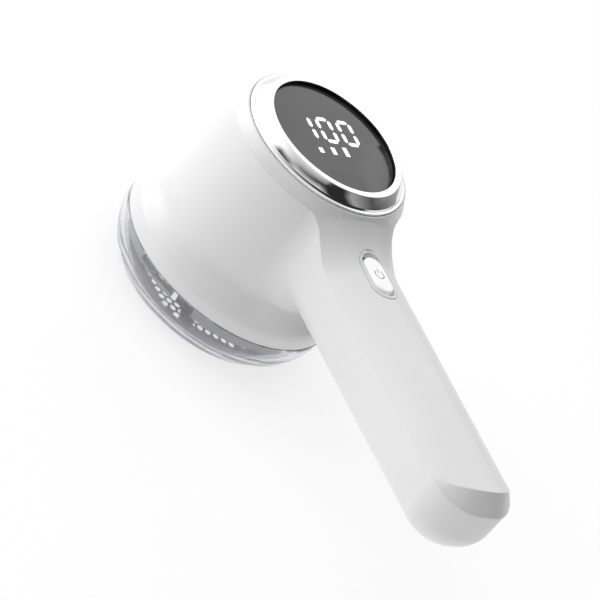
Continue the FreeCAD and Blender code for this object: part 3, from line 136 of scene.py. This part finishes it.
# ================================================================ shader building
class Shader:
    """One material with its principled shader, and short ways to add nodes to it."""

    def __init__(self, name, colour, roughness, metallic=0.0):
        self.material = bpy.data.materials.new(name)
        self.material.use_nodes = True
        self.tree = self.material.node_tree
        self.base = self.tree.nodes["Principled BSDF"]
        self.set("Base Color", (*colour, 1.0))
        self.set("Roughness", roughness)
        self.set("Metallic", metallic)
        self.place = self.tree.nodes.new("ShaderNodeTexCoord").outputs["Object"]
        self.material.diffuse_color = (*colour, 1.0)

    def set(self, socket, value):
        self.base.inputs[socket].default_value = value

    def link(self, source, target):
        self.tree.links.new(source, target)

    def add(self, kind, **values):
        node = self.tree.nodes.new(kind)
        for key, value in values.items():
            setattr(node, key, value)
        return node

    def centred(self, centre):
        """Object coordinates with their zero at centre."""
        mapping = self.add("ShaderNodeMapping")
        mapping.inputs["Location"].default_value = [-c for c in centre]
        self.link(self.place, mapping.inputs["Vector"])
        return mapping.outputs["Vector"]

    def noise(self, per_metre, detail=3.0, stretch=(1, 1, 1), place=None):
        """Cloudy values from 0 to 1, per_metre of them to the metre."""
        mapping = self.add("ShaderNodeMapping")
        mapping.inputs["Scale"].default_value = stretch
        self.link(place or self.place, mapping.inputs["Vector"])
        texture = self.add("ShaderNodeTexNoise")
        texture.inputs["Scale"].default_value = per_metre
        texture.inputs["Detail"].default_value = detail
        self.link(mapping.outputs["Vector"], texture.inputs["Vector"])
        return texture.outputs["Fac"]

    def ramp(self, value, stops, smooth=False):
        """Colours or greys by value. stops are (position, colour)."""
        node = self.add("ShaderNodeValToRGB")
        if smooth:
            node.color_ramp.interpolation = "EASE"
        while len(node.color_ramp.elements) < len(stops):
            node.color_ramp.elements.new(0.5)
        for element, (position, colour) in zip(node.color_ramp.elements, stops):
            element.position = position
            element.color = (*colour, 1.0) if isinstance(colour, tuple) else (colour, colour, colour, 1.0)
        self.link(value, node.inputs["Fac"])
        return node.outputs["Color"]

    def sum(self, operation, a, b=None):
        """The result of a sum on one or two numbers or outputs."""
        node = self.add("ShaderNodeMath", operation=operation)
        for socket, value in zip(node.inputs, (a, b)):
            if value is None:
                continue
            if isinstance(value, (int, float)):
                socket.default_value = value
            else:
                self.link(value, socket)
        return node.outputs["Value"]

    def mix(self, factor, first, colour):
        """first where factor is 0, and colour where it is 1."""
        node = self.add("ShaderNodeMix", data_type="RGBA")
        self.link(factor, node.inputs["Factor"])
        self.link(first, node.inputs[6])
        node.inputs[7].default_value = (*colour, 1.0)
        return node.outputs[2]

    def split(self, place):
        node = self.add("ShaderNodeSeparateXYZ")
        self.link(place, node.inputs["Vector"])
        return node.outputs["X"], node.outputs["Y"], node.outputs["Z"]

    def radius(self, centre):
        """Distance from the upright axis through centre, in metres."""
        x, y, _ = self.split(self.centred(centre))
        squares = [self.sum("MULTIPLY", side, side) for side in (x, y)]
        return self.sum("SQRT", self.sum("ADD", *squares))

    def bump(self, height, depth, strength=1.0, edge=0.0):
        """Relief of that depth. edge rounds the piece's sharp edges by that radius."""
        node = self.add("ShaderNodeBump")
        if edge:
            rounded = self.add("ShaderNodeBevel", samples=6)
            rounded.inputs["Radius"].default_value = edge
            self.link(rounded.outputs["Normal"], node.inputs["Normal"])
        node.inputs["Strength"].default_value = strength
        node.inputs["Distance"].default_value = depth
        self.link(height, node.inputs["Height"])
        self.link(node.outputs["Normal"], self.base.inputs["Normal"])


def finish(name, colour, roughness, metallic=0.0, grain=900.0, depth=0.00001, vary=0.04, rough_vary=0.06,
           stretch=(1, 1, 1), coat=0.0):
    """A moulded, cast or rolled surface: faint colour drift, uneven gloss and a fine grain."""
    shader = Shader(name, colour, roughness, metallic)
    drift = shader.noise(60.0, 2.0)
    dark = tuple(c * (1 - vary) for c in colour)
    light = tuple(min(1.0, c * (1 + vary)) for c in colour)
    shader.link(shader.ramp(drift, [(0.3, dark), (0.7, light)]), shader.base.inputs["Base Color"])
    patches = shader.noise(grain * 0.25, 4.0, stretch)
    low, high = max(0.0, roughness - rough_vary), min(1.0, roughness + rough_vary)
    shader.link(shader.ramp(patches, [(0.25, low), (0.75, high)]), shader.base.inputs["Roughness"])
    shader.bump(shader.noise(grain, 3.0, stretch), depth)
    if coat:
        shader.set("Coat Weight", coat)
        shader.set("Coat Roughness", 0.08)
    return shader


# ================================================================ materials
def white_gloss():
    """Satin white moulding: a grain too fine to see from afar, a hazier gloss where hands rub it."""
    shine = 0.34
    shader = Shader("white_gloss", (0.80, 0.80, 0.805), shine)
    drift = shader.noise(18.0, 2.0)
    shader.link(shader.ramp(drift, [(0.35, (0.785, 0.785, 0.79)), (0.65, (0.81, 0.81, 0.812))], True),
                shader.base.inputs["Base Color"])
    rubbed = shader.noise(45.0, 3.0)
    shader.link(shader.ramp(rubbed, [(0.35, shine - 0.05), (0.7, shine + 0.07)], True),
                shader.base.inputs["Roughness"])
    shader.bump(shader.noise(5200.0, 2.0), 0.0000012, 0.5, SHELL_EDGE)
    shader.set("Coat Weight", 0.2)
    shader.set("Coat Roughness", 0.12)
    shader.set("IOR", 1.49)
    return shader.material


def painted_glow_button():
    """The key's cap is whiter than the handle round it, with a faint painted glow that brightens it."""
    shader = finish("painted_glow_button", (0.93, 0.93, 0.935), 0.22, grain=5200.0, depth=0.000001, vary=0.005)
    # painted light: a faint glow that makes the key look brighter
    shader.set("Emission Color", (1.0, 1.0, 1.0, 1.0))
    shader.set("Emission Strength", 0.14)
    return shader.material


def bright_chrome():
    """Plated ring. Its bore, within the rim, is black and not metal: painted shade for the dark gap round the
    lens.
    """
    shader = finish("bright_chrome", (0.82, 0.82, 0.83), 0.07, metallic=1.0, grain=3000.0, depth=0.000001,
                    vary=0.015, rough_vary=0.03)
    bore_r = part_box("display_lens")[1][0] - HEAD.x + SHADED_BORE_SPARE
    # painted shade: the bore past the lens turns black and loses its metal
    bore_shade = shader.sum("LESS_THAN", shader.radius(HEAD), bore_r)
    colour = shader.base.inputs["Base Color"]
    shader.link(shader.mix(bore_shade, colour.links[0].from_socket, BORE_SHADE_BLACK), colour)
    shader.link(shader.sum("SUBTRACT", 1.0, bore_shade), shader.base.inputs["Metallic"])
    return shader.material


def smoked_lens():
    """Dark polished window over the display."""
    shader = finish("smoked_lens", (0.03, 0.03, 0.031), 0.14, grain=2500.0, depth=0.0000008, vary=0.02,
                    rough_vary=0.03)
    shader.set("IOR", 1.49)
    return shader.material


def lit_segments():
    """Milky light guides, lit from behind."""
    shader = finish("lit_segments", (1.0, 1.0, 1.0), 0.35, grain=4000.0, depth=0.000002, vary=0.0,
                    rough_vary=0.05)
    shader.set("Emission Color", (1.0, 1.0, 1.0, 1.0))
    shader.set("Emission Strength", 0.75)
    return shader.material


def clear_guard_plastic():
    """Clear moulded guard, faintly violet in its thickness, with flow marks and a gloss worn by lint."""
    shader = Shader("clear_guard_plastic", (0.93, 0.93, 0.97), 0.05)
    shader.set("Transmission Weight", 0.9)
    shader.set("IOR", 1.46)
    patches = shader.noise(300.0, 3.0)
    shader.link(shader.ramp(patches, [(0.3, 0.03), (0.75, 0.1)]), shader.base.inputs["Roughness"])
    shader.bump(shader.noise(90.0, 2.0), 0.00004)
    return shader.material


def brushed(name, colour, roughness, around_axis=False):
    """Steel with fine lines from grinding, along X or round the head's axis."""
    shader = Shader(name, colour, roughness, 1.0)
    if around_axis:
        radius = shader.radius(HEAD)
        combine = shader.add("ShaderNodeCombineXYZ")
        shader.link(radius, combine.inputs["X"])
        lines = shader.noise(9000.0, 2.0, place=combine.outputs["Vector"])
    else:
        lines = shader.noise(6000.0, 3.0, stretch=(0.04, 1, 1))
    dark = tuple(c * STEEL_DARK for c in colour)
    shader.link(shader.ramp(lines, [(0.2, dark), (0.8, colour)]), shader.base.inputs["Base Color"])
    shader.link(shader.ramp(lines, [(0.2, roughness - 0.08), (0.8, roughness + 0.1)]),
                shader.base.inputs["Roughness"])
    shader.bump(lines, 0.000004)
    return shader.material


def board_lacquer():
    """Green lacquer over copper tracks."""
    shader = finish("board_lacquer", (0.02, 0.16, 0.07), 0.3, grain=2500.0, depth=0.000003, vary=0.1,
                    coat=0.3)
    tracks = shader.add("ShaderNodeTexBrick", offset=0.3, squash=2.0)
    tracks.inputs["Scale"].default_value = 260.0
    tracks.inputs["Mortar Size"].default_value = 0.06
    tracks.inputs["Color1"].default_value = (0.012, 0.12, 0.05, 1)
    tracks.inputs["Color2"].default_value = (0.02, 0.17, 0.075, 1)
    tracks.inputs["Mortar"].default_value = (0.05, 0.27, 0.12, 1)
    shader.link(shader.place, tracks.inputs["Vector"])
    shader.link(tracks.outputs["Color"], shader.base.inputs["Base Color"])
    return shader.material


def part_finishes():
    """Material for each CAD node."""
    white = white_gloss()
    screw = brushed("screw_steel", (0.62, 0.62, 0.63), 0.32)
    foil = brushed("foil_steel", (0.74, 0.74, 0.74), 0.24, True)
    blade = brushed("blade_steel", (0.68, 0.68, 0.69), 0.28)
    can = finish("can_zinc", (0.58, 0.59, 0.6), 0.34, metallic=1.0, grain=800.0, vary=0.08).material
    nickel = finish("nickel", (0.7, 0.67, 0.6), 0.28, metallic=1.0, grain=1200.0, vary=0.05).material
    rubber = finish("soft_rubber", (0.03, 0.03, 0.03), 0.75, grain=2500.0, depth=0.00002, vary=0.15).material
    black = finish("black_moulding", (0.035, 0.035, 0.037), 0.45, grain=1800.0, vary=0.1).material
    matt_white = finish("white_moulding", (0.78, 0.78, 0.76), 0.55, grain=1500.0, vary=0.03).material
    deck = finish("grey_moulding", (0.55, 0.55, 0.58), 0.42, grain=1400.0).material
    board = board_lacquer()
    copper = finish("copper", (0.72, 0.36, 0.17), 0.33, metallic=1.0, grain=4000.0, stretch=(1, 1, 6),
                    vary=0.12).material
    bronze = finish("bronze", (0.6, 0.4, 0.2), 0.4, metallic=1.0, vary=0.1).material
    iron = finish("laminated_iron", (0.16, 0.16, 0.17), 0.5, metallic=0.7, grain=3000.0,
                  stretch=(0.1, 0.1, 2), depth=0.00002, vary=0.15).material
    wrap = finish("cell_wrap", (0.05, 0.28, 0.45), 0.28, grain=700.0, vary=0.06, coat=0.4).material
    lead = finish("lead_insulation", (0.5, 0.03, 0.025), 0.45, grain=1500.0, vary=0.08).material
    cable = finish("flat_cable", (0.75, 0.72, 0.6), 0.4, grain=3000.0, stretch=(0.1, 3, 0.1), depth=0.00002,
                   vary=0.1).material
    led = finish("led_resin", (0.9, 0.85, 0.5), 0.25, vary=0.05).material
    icon = finish("icon_paint", (0.13, 0.13, 0.135), 0.5, vary=0.05).material
    return {
        "main_shell": white, "handle_cover": white, "button_frame": white, "power_button": painted_glow_button(),
        "power_icon": icon, "chrome_ring": bright_chrome(), "display_lens": smoked_lens(),
        "display_segments": lit_segments(),
        "lens_gasket": rubber, "deck_seal": rubber, "shaft_seal": rubber, "motor_sleeve": rubber,
        "motor_damper": rubber, "display_reflector": matt_white, "display_tray": matt_white,
        "battery_cradle": matt_white, "display_leds": led, "display_board": board, "control_board": board,
        "port_board": board, "cover_screws": screw, "display_screws": screw, "board_screws": screw,
        "deck_screws": screw, "motor_screws": screw, "display_ribbon": cable, "tact_switch": black,
        "switch_plunger": black, "board_parts": black, "port_tongue": black, "battery_cell": wrap,
        "battery_tabs": nickel, "usb_port": nickel, "motor_terminals": nickel, "battery_leads": lead,
        "motor_leads": lead, "port_leads": lead, "chamber_deck": deck, "clear_guard": clear_guard_plastic(),
        "cutting_foil": foil, "foil_ring": foil, "cutter_blades": blade, "cutter_rivets": blade,
        "cutter_spring": blade, "cutter_hub": black, "drive_coupling": black, "motor_end_cap": black,
        "motor_can": can, "motor_shaft": blade, "motor_bushes": bronze, "motor_brushes": copper,
        "commutator": copper, "armature_windings": copper, "motor_magnets": iron, "armature_core": iron,
    }


# ================================================================ pieces
def new_piece(name, mesh, material):
    """An object of that mesh, with its one material."""
    piece = bpy.data.objects.new(name, mesh)
    bpy.context.scene.collection.objects.link(piece)
    piece.data.materials.clear()
    piece.data.materials.append(material)
    return piece


def body_of_node(node):
    return nodes[node]["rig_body"]


def merged(node):
    """A bmesh of the CAD node's shape with its triangles joined."""
    work = bmesh.new()
    work.from_mesh(nodes[node].data)
    bmesh.ops.remove_doubles(work, verts=work.verts, dist=MERGE)
    return work


def smooth_copy(node, sharp_degrees, material):
    """The CAD node's shape with its triangles joined, shaded smooth between its real edges."""
    mesh = nodes[node].data.copy()
    work = merged(node)
    limit = math.radians(sharp_degrees)
    for face in work.faces:
        face.smooth = True
    for edge in work.edges:
        edge.smooth = len(edge.link_faces) == 2 and edge.calc_face_angle(0.0) < limit
    work.to_mesh(mesh)
    work.free()
    piece = new_piece("smooth_" + node, mesh, material)
    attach(piece, body_of_node(node))
    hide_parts(node)
    return piece


# ================================================================ pieces that repeat, by rule
class Rule:
    """A Geometry Nodes tree with named inputs for its sizes."""

    def __init__(self, name, **sizes):
        self.tree = bpy.data.node_groups.new(name, "GeometryNodeTree")
        face = self.tree.interface
        face.new_socket(name="Geometry", in_out="INPUT", socket_type="NodeSocketGeometry")
        self.values = {}
        for size, value in sizes.items():
            kind = "NodeSocketInt" if isinstance(value, int) else "NodeSocketFloat"
            socket = face.new_socket(name=size, in_out="INPUT", socket_type=kind)
            self.values[socket.identifier] = value
        face.new_socket(name="Geometry", in_out="OUTPUT", socket_type="NodeSocketGeometry")
        self.source = self.tree.nodes.new("NodeGroupInput").outputs
        self.result = self.tree.nodes.new("NodeGroupOutput").inputs[0]

    def add(self, kind, inputs=(), **values):
        """A node with its inputs set or linked, given as (input name or number, value or output)."""
        node = self.tree.nodes.new(kind)
        for key, value in values.items():
            setattr(node, key, value)
        for key, value in inputs:
            if isinstance(value, bpy.types.NodeSocket):
                self.tree.links.new(value, node.inputs[key])
            else:
                node.inputs[key].default_value = value
        return node

    def sum(self, operation, a, b=0.0):
        return self.add("ShaderNodeMath", ((0, a), (1, b)), operation=operation).outputs[0]

    def vector(self, x=0.0, y=0.0, z=0.0):
        return self.add("ShaderNodeCombineXYZ", ((0, x), (1, y), (2, z))).outputs[0]

    def moved(self, geometry, offset):
        return self.add("GeometryNodeTransform", (("Geometry", geometry), ("Translation", offset))).outputs[0]

    def copies(self, points, instance):
        """instance at each of the points."""
        inputs = (("Points", points), ("Instance", instance))
        return self.add("GeometryNodeInstanceOnPoints", inputs).outputs[0]

    def joined(self, *geometries):
        node = self.add("GeometryNodeJoinGeometry")
        for geometry in geometries:
            self.tree.links.new(geometry, node.inputs[0])
        return node.outputs[0]

    def boolean(self, operation, second_meshes, first_mesh=None):
        node = self.add("GeometryNodeMeshBoolean", operation=operation, solver="EXACT")
        if first_mesh:
            self.tree.links.new(first_mesh, node.inputs["Mesh 1"])
        for mesh in second_meshes:
            self.tree.links.new(mesh, node.inputs["Mesh 2"])
        return node.outputs[0]

    def close(self, instances, material):
        """Realise the instances and give them their material."""
        realised = self.add("GeometryNodeRealizeInstances", (("Geometry", instances),)).outputs[0]
        inputs = (("Geometry", realised), ("Material", material))
        self.tree.links.new(self.add("GeometryNodeSetMaterial", inputs).outputs[0], self.result)

    def apply(self, name, points, material):
        """The tree's plain mesh, as a new piece, from a mesh of points."""
        seed = bpy.data.meshes.new(name + "_points")
        seed.from_pydata([tuple(p) for p in points], [], [])
        holder = bpy.data.objects.new(name + "_holder", seed)
        bpy.context.scene.collection.objects.link(holder)
        modifier = holder.modifiers.new("rule", "NODES")
        modifier.node_group = self.tree
        for identifier, value in self.values.items():
            modifier[identifier] = value
        graph = bpy.context.evaluated_depsgraph_get()
        mesh = bpy.data.meshes.new_from_object(holder.evaluated_get(graph))
        holder.modifiers.remove(modifier)
        bpy.data.objects.remove(holder)
        for polygon in mesh.polygons:
            polygon.use_smooth = False
        return new_piece(name, mesh, material)


def islands(node):
    """(low corner, high corner) of each separate solid of a CAD node."""
    work = merged(node)
    left = set(work.verts)
    boxes = []
    while left:
        stack = [left.pop()]
        group = []
        while stack:
            vertex = stack.pop()
            group.append(vertex.co.copy())
            for edge in vertex.link_edges:
                other = edge.other_vert(vertex)
                if other in left:
                    left.remove(other)
                    stack.append(other)
        boxes.append([Vector([pick(p[i] for p in group) for i in range(3)]) for pick in (min, max)])
    work.free()
    return sorted(boxes, key=lambda box: tuple(box[0]))


def screw_head(rule, size):
    """A tapered head over z = 0, where its face is, with the cross recess."""
    face_r = rule.sum("MULTIPLY", size["HeadRadius"], HEAD_TAPER)
    head = rule.add("GeometryNodeMeshCone", (("Vertices", HEAD_SIDES), ("Radius Top", size["HeadRadius"]),
                                             ("Radius Bottom", face_r), ("Depth", size["HeadHeight"])))
    middle = rule.vector(z=rule.sum("MULTIPLY", size["HeadHeight"], -RECESS_LIFT))
    arms = []
    for sides in (("CrossReach", "CrossWidth"), ("CrossWidth", "CrossReach")):
        bar = rule.vector(size[sides[0]], size[sides[1]], size["HeadHeight"])
        cube = rule.add("GeometryNodeMeshCube", (("Size", bar),))
        arms.append(rule.moved(cube.outputs["Mesh"], middle))
    return rule.boolean("DIFFERENCE", [rule.boolean("UNION", arms)], head.outputs["Mesh"])


def screw_thread(rule, size):
    """The shank over the head, with a ring for each turn of its thread."""
    length = rule.sum("SUBTRACT", size["Length"], size["HeadHeight"])
    core_r = rule.sum("MULTIPLY", size["ShankRadius"], CORE_SHARE)
    core = rule.add("GeometryNodeMeshCylinder", (("Vertices", SHANK_SIDES), ("Radius", core_r),
                                                 ("Depth", length)))
    core_z = rule.sum("ADD", rule.sum("MULTIPLY", length, 0.5),
                      rule.sum("MULTIPLY", size["HeadHeight"], SHANK_JOIN))
    core = rule.moved(core.outputs["Mesh"], rule.vector(z=core_z))

    pitch = rule.sum("DIVIDE", length, rule.sum("ADD", size["Threads"], 1.0))
    first = rule.vector(z=rule.sum("ADD", pitch, size["HeadHeight"]))
    line = rule.add("GeometryNodeMeshLine", (("Count", size["Threads"]), ("Start Location", first),
                                             ("Offset", rule.vector(z=pitch))))
    root_r = rule.sum("MULTIPLY", size["ShankRadius"], THREAD_ROOT)
    ring_h = rule.sum("MULTIPLY", pitch, THREAD_FILL)
    ring = rule.add("GeometryNodeMeshCone", (("Vertices", SHANK_SIDES), ("Radius Top", root_r),
                                             ("Radius Bottom", size["ShankRadius"]), ("Depth", ring_h)))
    return core, rule.copies(line.outputs[0], ring.outputs["Mesh"])


def cross_head_screws(node, material):
    """The screws of a node, driven upwards, each with a cross recess and rings of thread."""
    boxes = islands(node)
    low, high = boxes[0]
    head_r = (high.x - low.x) / 2
    length = high.z - low.z
    rule = Rule("rule_" + node, HeadRadius=head_r, ShankRadius=head_r * SHANK_SHARE,
                HeadHeight=SCREW_HEAD_H, Length=length, CrossReach=head_r * CROSS_REACH,
                CrossWidth=head_r * CROSS_WIDTH, Threads=int(length / THREAD_PITCH))
    size = {name: rule.source[name] for name in ("HeadRadius", "ShankRadius", "HeadHeight", "Length",
                                                 "CrossReach", "CrossWidth", "Threads")}
    one = rule.joined(screw_head(rule, size), *screw_thread(rule, size))
    places = rule.add("GeometryNodeMeshToPoints", (("Mesh", rule.source["Geometry"]),)).outputs[0]
    rule.close(rule.copies(places, one), material)
    faces = [((a.x + b.x) / 2, (a.y + b.y) / 2, a.z) for a, b in boxes]
    piece = rule.apply("turned_" + node, faces, material)
    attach(piece, body_of_node(node))
    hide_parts(node)
    return piece


# ================================================================ floor, light and camera
def make_floor():
    """Pale paper floor with a faint glow, so that it stays brighter than the shaver."""
    bpy.ops.mesh.primitive_plane_add(size=FLOOR_SIZE, location=(0, 0, -FLOOR_DROP))
    floor = bpy.context.object
    floor.name = "floor"
    shader = finish("floor_paint", (0.3, 0.3, 0.3), 0.8, grain=40.0, depth=0.00001, vary=0.002)
    shader.set("Specular IOR Level", 0.0)
    shader.set("Emission Color", (1.0, 1.0, 1.0, 1.0))
    shader.set("Emission Strength", 0.74)
    floor.data.materials.append(shader.material)


def make_key_light():
    """One large soft light, from the head's side."""
    data = bpy.data.lights.new("key", "AREA")
    data.shape = "SQUARE"
    data.size = KEY_SIZE
    data.energy = KEY_POWER
    light = bpy.data.objects.new("key", data)
    bpy.context.scene.collection.objects.link(light)
    direction = Vector(KEY_FROM).normalized()
    light.location = Vector((0.0, 0.0, LIT_HEIGHT)) + direction * KEY_DISTANCE
    light.rotation_euler = direction.to_track_quat("Z", "Y").to_euler()


def make_world():
    """Pale studio: bright on the head's side, dim beyond the handle's end, with a few soft boxes."""
    world = bpy.data.worlds.new("studio")
    bpy.context.scene.world = world
    world.use_nodes = True
    tree = world.node_tree
    background = tree.nodes["Background"]
    background.inputs["Strength"].default_value = STUDIO_LEVEL
    place = tree.nodes.new("ShaderNodeTexCoord").outputs["Generated"]
    split = tree.nodes.new("ShaderNodeSeparateXYZ")
    tree.links.new(place, split.inputs["Vector"])
    angle = tree.nodes.new("ShaderNodeMath")
    angle.operation = "ARCTAN2"
    tree.links.new(split.outputs["Y"], angle.inputs[0])
    tree.links.new(split.outputs["X"], angle.inputs[1])
    turn = tree.nodes.new("ShaderNodeMath")
    turn.operation = "MULTIPLY_ADD"
    turn.inputs[1].default_value = 1 / (2 * math.pi)
    turn.inputs[2].default_value = 0.5
    tree.links.new(angle.outputs["Value"], turn.inputs[0])

    def by_value(value, stops):
        """Greys by value. stops are (position, grey)."""
        ramp = tree.nodes.new("ShaderNodeValToRGB")
        while len(ramp.color_ramp.elements) < len(stops):
            ramp.color_ramp.elements.new(0.5)
        for element, (position, grey) in zip(ramp.color_ramp.elements, stops):
            element.position = position
            element.color = (grey, grey, grey, 1.0)
        tree.links.new(value, ramp.inputs["Fac"])
        return ramp.outputs["Color"]

    def by_angle(stops):
        shares = [(degrees / FULL_TURN + 0.5, grey) for degrees, grey in stops]
        return by_value(turn.outputs["Value"], shares)

    boxes_over_walls = tree.nodes.new("ShaderNodeMix")
    boxes_over_walls.data_type = "RGBA"
    tree.links.new(by_value(split.outputs["Z"], BOXES_BAND), boxes_over_walls.inputs["Factor"])
    tree.links.new(by_angle(STUDIO_WALLS), boxes_over_walls.inputs[6])
    tree.links.new(by_angle(STUDIO_BOXES), boxes_over_walls.inputs[7])

    under_ceiling = tree.nodes.new("ShaderNodeMix")
    under_ceiling.data_type = "RGBA"
    tree.links.new(by_value(split.outputs["Z"], CEILING_BAND), under_ceiling.inputs["Factor"])
    tree.links.new(boxes_over_walls.outputs[2], under_ceiling.inputs[6])
    under_ceiling.inputs[7].default_value = (CEILING_LEVEL, CEILING_LEVEL, CEILING_LEVEL, 1.0)
    tree.links.new(under_ceiling.outputs[2], background.inputs["Color"])


def make_camera():
    """A long lens, rolled so that the handle points down and to the right."""
    data = bpy.data.cameras.new("camera")
    data.sensor_width = CAMERA_SENSOR
    data.lens = CAMERA_LENS
    data.clip_start, data.clip_end = CAMERA_CLIP
    camera = bpy.data.objects.new("camera", data)
    bpy.context.scene.collection.objects.link(camera)
    turn = Matrix((CAMERA_RIGHT, CAMERA_UP, CAMERA_BACK)).transposed().to_4x4()
    camera.matrix_world = Matrix.Translation(CAMERA_PLACE + Vector((HEAD.x, 0, 0))) @ turn
    bpy.context.scene.camera = camera


# ================================================================ making
finishes = part_finishes()
for node_name, node_object in nodes.items():
    node_object.data.materials.clear()
    node_object.data.materials.append(finishes[node_name])

for node_name, (sharp, slot_name) in SMOOTHED.items():
    smooth_copy(node_name, sharp, finishes[node_name])

cross_head_screws("cover_screws", finishes["cover_screws"])

make_floor()
make_key_light()
make_world()
make_camera()
bpy.context.scene.view_settings.view_transform = "Standard"
